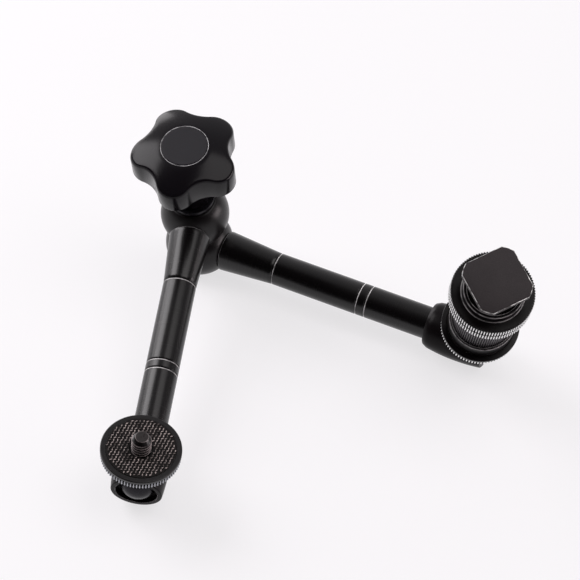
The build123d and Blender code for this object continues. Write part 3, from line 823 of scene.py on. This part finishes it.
def clamp_ring(material):
    """Ring with two bands of straight knurl parted by a groove, and a raised collar."""
    low = DISC_TOP + RING_BOTTOM
    high = low + RING_T
    middle = (low + high) / 2
    bore = SPIGOT_R + RUNNING
    profile = [(bore, low), (RING_R - 0.9, low), (RING_R - 0.65, low + 0.05)]
    bands = ((low + 0.4, middle - 0.5), (middle + 0.5, high - 0.4))
    for start, end in bands:
        profile += [(RING_R - 0.5, start - 0.2), (RING_R, start - 0.05), (RING_R, end + 0.05),
                    (RING_R - 0.5, end + 0.2)]
        if end < middle:
            profile += [(RING_GROOVE_R, middle - 0.2), (RING_GROOVE_R, middle + 0.2)]
    profile += [(RING_R - 0.6, high - 0.05), (RING_R - 0.8, high), (RING_COLLAR_R + 0.15, high),
                (RING_COLLAR_R, high + 0.12), (RING_COLLAR_R - 0.2, high + 1.6)]
    profile += arc((RING_COLLAR_R - 0.5, high + 2.4), 0.2, 0, 90, 4)
    profile += [(RING_RECESS_R + 0.12, high + 2.6), (RING_RECESS_R, high + 2.45), (RING_RECESS_R, high + 0.4),
                (bore, high + 0.4)]
    bm = spun(profile, RING_RIBS * 8, True)
    for start, end in bands:
        sink_ribs(bm, RING_R, RING_RIBS, RING_RIB_DEPTH, start - 0.1, end + 0.1, 1.2)
    return finished(bm, "knurled_ring", SHOE_STUD, material, "ring", "clamp_ring", 30.0)


def shoe_foot(material, edge_material):
    """Flat foot: a round plate cut by four straight sides, its edges rubbed bright."""
    low = DISC_TOP + FOOT_TOP - FOOT_T
    bm = bmesh.new()
    bmesh.ops.create_circle(bm, cap_ends=True, radius=FOOT_ROUND_R, segments=96,
                            matrix=Matrix.Translation((0, 0, low)))
    for side in range(4):
        outwards = Vector((cos(side * pi / 2), sin(side * pi / 2), 0))
        bmesh.ops.bisect_plane(bm, geom=bm.verts[:] + bm.edges[:] + bm.faces[:], dist=1e-5,
                               plane_co=outwards * FOOT_HALF, plane_no=outwards, clear_outer=True)
    grown = bmesh.ops.extrude_face_region(bm, geom=bm.faces[:])["geom"]
    raised = [g for g in grown if isinstance(g, bmesh.types.BMVert)]
    bmesh.ops.translate(bm, verts=raised, vec=(0, 0, FOOT_T))
    bmesh.ops.recalc_face_normals(bm, faces=bm.faces)
    rims = [e for e in bm.edges if abs(e.verts[0].co.z - e.verts[1].co.z) < 1e-5]
    bevel = bmesh.ops.bevel(bm, geom=rims, offset=0.2, segments=2, profile=0.5, affect="EDGES", material=-1)
    for face in bevel["faces"]:
        face.material_index = 1
    bmesh.ops.rotate(bm, verts=bm.verts, cent=(0, 0, 0), matrix=Matrix.Rotation(radians(FOOT_TURN), 3, "Z"))
    piece = finished(bm, "foot_plate", SHOE_STUD, material, "shoe_head", "shoe_foot")
    piece.data.materials.append(edge_material)
    return piece


# Knob

def star_radius(angle):
    """Radius of the knob's outline: convex arcs at the lobes, concave arcs at the notches."""
    half = pi / KNOB_LOBES
    lobe_at = KNOB_TIP_R - KNOB_LOBE_R
    reach = lobe_at ** 2 + KNOB_NOTCH_R ** 2 - 2 * lobe_at * KNOB_NOTCH_R * cos(half) - KNOB_LOBE_R ** 2
    curve_r = reach / (2 * (KNOB_LOBE_R - KNOB_NOTCH_R + lobe_at * cos(half)))
    curve_at = KNOB_NOTCH_R + curve_r
    share = KNOB_LOBE_R / (KNOB_LOBE_R + curve_r)
    joint = Vector((lobe_at, 0)).lerp(Vector((curve_at * cos(half), curve_at * sin(half))), share)
    local = (angle + half) % (2 * half) - half
    if abs(local) < atan2(joint.y, joint.x):
        return lobe_at * cos(local) + sqrt(KNOB_LOBE_R ** 2 - (lobe_at * sin(local)) ** 2)
    off = half - abs(local)
    return curve_at * cos(off) - sqrt(curve_r ** 2 - (curve_at * sin(off)) ** 2)


def circle(radius):
    return lambda angle: radius


def star(inset):
    return lambda angle: star_radius(angle) - inset


def between(share):
    """Outline a share of the way from the rounded rim to the cap's seat."""
    return lambda angle: (star_radius(angle) - KNOB_EDGE) * (1 - share) + (CAP_SEAT_R + 0.25) * share


def level(height):
    return lambda radius: height


def under_crown(depth):
    return lambda radius: crown(radius) - depth


def knob_sections():
    """Outlines up the hub's side from its foot, through the hollow, round the rim and over the crown."""
    hollow = KNOB_UNDERSIDE + KNOB_RECESS
    sections = [(circle(HUB_FOOT_R), level(HUB_BOTTOM)), (circle(HUB_R - 0.2), level(HUB_BOTTOM)),
                (circle(HUB_R), level(HUB_BOTTOM + 0.2)), (circle(HUB_TOP_R), level(hollow - 0.6)),
                (circle(HUB_ROOT_R), level(hollow)), (star(KNOB_WALL + 0.8), level(hollow)),
                (star(KNOB_WALL + 0.1), level(hollow - 0.7)), (star(KNOB_WALL), level(KNOB_UNDERSIDE + 0.1)),
                (star(KNOB_WALL - 0.15), level(KNOB_UNDERSIDE)), (star(0.3), level(KNOB_UNDERSIDE)),
                (star(0.08), level(KNOB_UNDERSIDE + 0.1)), (star(0.0), level(KNOB_UNDERSIDE + 0.35)),
                (star(0.0), under_crown(1.0))]
    for i in range(1, 7):
        angle = i / 6 * pi / 2
        sections.append((star(KNOB_EDGE * (1 - cos(angle))), under_crown(1.0 - sin(angle))))
    sections += [(between(share), crown) for share in (0.2, 0.4, 0.6, 0.8, 1.0)]
    sections += [(circle(CAP_SEAT_R + 0.1), under_crown(0.03)), (circle(CAP_SEAT_R), under_crown(0.18)),
                 (circle(CAP_SEAT_R), under_crown(CAP_T)), (circle(0.4), level(crown(CAP_SEAT_R) - CAP_T))]
    return sections


def star_knob(material):
    """Glossy star knob: rounded rim, shallow crown, a seat for the cap, hollow underside and a long hub."""
    bm = bmesh.new()
    ring = set(bmesh.ops.create_circle(bm, cap_ends=False, radius=1.0, segments=300)["verts"])
    for i, (outline, height) in enumerate(knob_sections()):
        if i:
            edges = [e for e in bm.edges if all(v in ring for v in e.verts)]
            grown = bmesh.ops.extrude_edge_only(bm, edges=edges)["geom"]
            ring = {g for g in grown if isinstance(g, bmesh.types.BMVert)}
        for vert in ring:
            _, angle = around(vert)
            radius = outline(angle)
            vert.co = Vector((radius * cos(angle), radius * sin(angle), height(radius)))
    bmesh.ops.holes_fill(bm, edges=[e for e in bm.edges if len(e.link_faces) == 1], sides=0)
    bmesh.ops.recalc_face_normals(bm, faces=bm.faces)
    bmesh.ops.rotate(bm, verts=bm.verts, cent=(0, 0, 0), matrix=Matrix.Rotation(radians(KNOB_TURN), 3, "Z"))
    return finished(bm, "star_knob", KNOB_FRAME, material, "knob", "knob_body", 60.0)


def knob_cap(material):
    """Round plug in the crown with a softly rounded rim."""
    top = crown(CAP_R) + CAP_PROUD
    profile = [(0, top - CAP_T), (CAP_R, top - CAP_T)]
    profile += arc((CAP_R - 0.2, top - 0.2), 0.2, 0, 90, 5) + [(0, top)]
    return finished(spun(profile, 128, False), "cap_plug", KNOB_FRAME, material, "knob", "knob_cap")


# The whole arm

def build_pieces():
    oxide = black_oxide("black_oxide")
    steel = turned_metal("turned_steel", (0.45, 0.45, 0.46), (0.6, 0.6, 0.6), 0.3)
    brass = turned_metal("turned_brass", (0.50, 0.34, 0.13), (0.65, 0.46, 0.20), 0.28)
    rib_low = DISC_BASE + 0.3
    rib_high = DISC_TOP - RIM_T - 0.1
    blue_grey = (0.44, 0.45, 0.49)
    disc_left = worn_knurl("disc_black_left", SCREW_STUD, DISC_TIP_R, rib_low, rib_high, blue_grey, 0.4)
    disc_right = worn_knurl("disc_black_right", SHOE_STUD, DISC_TIP_R, rib_low, rib_high, BARE_METAL, 0.2)
    ring_low = DISC_TOP + RING_BOTTOM
    ring_high = ring_low + RING_T
    # The last list gives painted highlight lines on the raised collar's outer and inner top edges and at its
    # foot.
    ring = worn_knurl("ring_black", SHOE_STUD, RING_R, ring_low, ring_high, BARE_METAL, 0.14,
                      [(RING_COLLAR_R - 0.36, ring_high + 2.54), (RING_RECESS_R + 0.06, ring_high + 2.55),
                       (RING_COLLAR_R + 0.1, ring_high)])
    collar = DISC_TOP + COLLAR_T
    stem_top = DISC_TOP + STEM_TOP
    # The last list gives painted highlight lines on the collar's top and bottom edges and where the stem
    # meets it.
    stem = worn_knurl("stem_black", SHOE_STUD, STEM_R, collar, stem_top, (0.11, 0.10, 0.11), 0.14,
                      [(COLLAR_R - 0.07, collar - 0.07), (COLLAR_R - 0.09, PAD_TOP + 0.09),
                       (STEM_R + 0.2, collar)])
    # Painted highlight line round the rim of each cup's mouth.
    mouth_highlight = [(MOUTH_R + 0.1, CUP_FRONT - 0.05)]

    head("upper_ball_head", UPPER_HEAD, "upper_arm", "upper_head", anodised("head_upper", UPPER_HEAD, 0.3))
    head("lower_ball_head", LOWER_HEAD, "lower_arm", "lower_head", anodised("head_lower", LOWER_HEAD, 0.3))
    tube("upper_arm_tube", UPPER_TUBE, "upper_arm", "screw_tube", tube_finish("tube_black_upper", UPPER_TUBE))
    tube("lower_arm_tube", LOWER_TUBE, "lower_arm", "shoe_tube", tube_finish("tube_black_lower", LOWER_TUBE))
    cup("screw_cup", SCREW_CUP, "upper_arm", "screw_socket", anodised("cup_left", SCREW_CUP, 0.1, mouth_highlight))
    cup("shoe_cup", SHOE_CUP, "lower_arm", "shoe_socket", anodised("cup_right", SHOE_CUP, 0.1, mouth_highlight))
    ball_stud("screw_stud_piece", SCREW_STUD, "screw_stud", "screw_ball_stud", oxide)
    ball_stud("shoe_stud_piece", SHOE_STUD, "shoe_stud", "shoe_ball_stud", oxide)
    knurled_disc("screw_knurled_disc", SCREW_STUD, "screw_lock_disc", "screw_disc", disc_left)
    knurled_disc("shoe_knurled_disc", SHOE_STUD, "shoe_head", "shoe_disc", disc_right)
    quarter_screw(thread_with_painted_highlights("threaded_black", SCREW_STUD))
    # The pale colour is the painted highlight on the pimples' tops.
    pimpled_pad(rubber("pad_rubber_brown", SCREW_STUD, (0.44, 0.375, 0.36)))
    adapter(stem)
    clamp_ring(ring)
    shoe_foot(blasted("foot_black"), rubbed_edge("bright_edge"))
    star_knob(moulded_gloss("knob_gloss"))
    knob_cap(moulded_matt("cap_matt"))
    washer("thrust_ring", THRUST_R, THRUST_LOW, THRUST_LOW + THRUST_T, "thrust", "thrust_washer", oxide)
    middle = -HEAD_SPACING / 2
    washer("friction_ring", FRICTION_R, middle - FRICTION_T / 2, middle + FRICTION_T / 2, "lower_arm",
           "friction_washer", nylon("black_nylon"))
    dress(oxide, "clamp_bolt", "shoe_quarter_screw")
    dress(steel, "upper_wedge", "lower_wedge", "screw_push_rod", "shoe_push_rod")
    dress(brass, "knob_nut", "screw_ball_seat", "shoe_ball_seat")
    dress(rubber("hidden_pad_rubber", SHOE_STUD, (0.008, 0.006, 0.006)), "shoe_pad")


# Floor, light and camera

FLOOR_WHITE = (1.0, 0.985, 1.0)
FLOOR_SHARE = 0.70


def seen_directly(tree):
    """1 for rays from the camera and for those that gloss or glass sends on, otherwise 0."""
    path = tree.nodes.new("ShaderNodeLightPath")
    total = path.outputs["Is Camera Ray"]
    for name in ("Is Glossy Ray", "Is Transmission Ray"):
        adder = tree.nodes.new("ShaderNodeMath")
        adder.operation = "MAXIMUM"
        tree.links.new(total, adder.inputs[0])
        tree.links.new(path.outputs[name], adder.inputs[1])
        total = adder.outputs[0]
    return total


def floor():
    """Large pale sheet under the part, seen almost white by the camera, with the part's soft shadow."""
    bm = bmesh.new()
    bmesh.ops.create_grid(bm, x_segments=1, y_segments=1, size=3.0)
    plane = bpy.data.objects.new("floor", placed_mesh(bm, "floor", Matrix.Scale(1 / MM, 4)))
    bpy.context.scene.collection.objects.link(plane)
    nodes = Nodes("pale_floor")
    nodes.set("Base Color", nodes.mix(nodes.noise(2.0), (0.94, 0.925, 0.955), (0.95, 0.935, 0.965)))
    nodes.set("Roughness", 0.7)
    nodes.set("Specular IOR Level", 0.2)
    share = nodes.math("MULTIPLY", seen_directly(nodes.tree), FLOOR_SHARE)
    white = nodes.node("ShaderNodeEmission", {"Color": (*FLOOR_WHITE, 1), "Strength": 1.0})
    blend = nodes.node("ShaderNodeMixShader", {0: share, 1: nodes.shader.outputs[0], 2: white.outputs[0]})
    nodes.tree.links.new(blend.outputs[0], nodes.tree.nodes["Material Output"].inputs["Surface"])
    plane.data.materials.append(nodes.material)


def softbox(name, azimuth, elevation, distance, size, radiance, colour):
    """Soft lamp aimed at the part; azimuth is from straight behind it towards the right."""
    a, e = radians(azimuth), radians(elevation)
    away = Vector((sin(a) * cos(e), cos(a) * cos(e), sin(e)))
    light = bpy.data.lights.new(name, "AREA")
    light.shape = "RECTANGLE"
    light.size, light.size_y = size
    light.energy = radiance * pi * size[0] * size[1]
    light.color = colour
    lamp = bpy.data.objects.new(name, light)
    lamp.location = away * distance
    lamp.rotation_euler = (-away).to_track_quat("-Z", "Y").to_euler()
    bpy.context.scene.collection.objects.link(lamp)


def studio():
    """Dim room, brighter behind the part, seen pale by the camera."""
    world = bpy.data.worlds.new("studio")
    world.use_nodes = True
    tree = world.node_tree
    room = tree.nodes["Background"]
    room.inputs["Color"].default_value = (1.0, 0.98, 1.0, 1)
    direction = tree.nodes.new("ShaderNodeSeparateXYZ")
    tree.links.new(tree.nodes.new("ShaderNodeTexCoord").outputs["Generated"], direction.inputs[0])
    fall = tree.nodes.new("ShaderNodeMapRange")
    for socket, value in (("From Min", -0.1), ("From Max", 0.9), ("To Min", 0.02), ("To Max", 0.75)):
        fall.inputs[socket].default_value = value
    tree.links.new(direction.outputs["Y"], fall.inputs["Value"])
    tree.links.new(fall.outputs["Result"], room.inputs["Strength"])
    pale = tree.nodes.new("ShaderNodeBackground")
    pale.inputs["Color"].default_value = (*FLOOR_WHITE, 1)
    path = tree.nodes.new("ShaderNodeLightPath")
    blend = tree.nodes.new("ShaderNodeMixShader")
    tree.links.new(path.outputs["Is Camera Ray"], blend.inputs[0])
    tree.links.new(room.outputs[0], blend.inputs[1])
    tree.links.new(pale.outputs[0], blend.inputs[2])
    tree.links.new(blend.outputs[0], tree.nodes["World Output"].inputs["Surface"])
    bpy.context.scene.world = world


def camera():
    """Camera at the photograph's place and direction."""
    data = bpy.data.cameras.new("photo_camera")
    data.sensor_width = SENSOR_WIDTH
    data.lens = SENSOR_WIDTH * FOCAL_PIXELS / FRAME_PIXELS
    data.clip_start = 0.05
    data.clip_end = 20.0
    eye = bpy.data.objects.new("photo_camera", data)
    eye.matrix_world = placed(CAMERA_AT, -CAMERA_AHEAD, CAMERA_RIGHT)
    bpy.context.scene.collection.objects.link(eye)
    bpy.context.scene.camera = eye


build_pieces()
floor()
studio()
softbox("left_low_softbox", -36, 15, 1.1, (0.75, 0.45), 4.6, (1.0, 0.96, 0.98))
softbox("left_high_softbox", -64, 42, 1.1, (0.6, 0.6), 5.6, (1.0, 0.97, 0.99))
softbox("right_high_softbox", 100, 66, 1.0, (0.7, 0.7), 2.2, (1.0, 0.96, 0.96))
softbox("right_softbox", 98, 8, 1.1, (0.8, 0.26), 7.0, (1.0, 0.90, 0.92))
camera()
bpy.context.scene.view_settings.view_transform = "Standard"
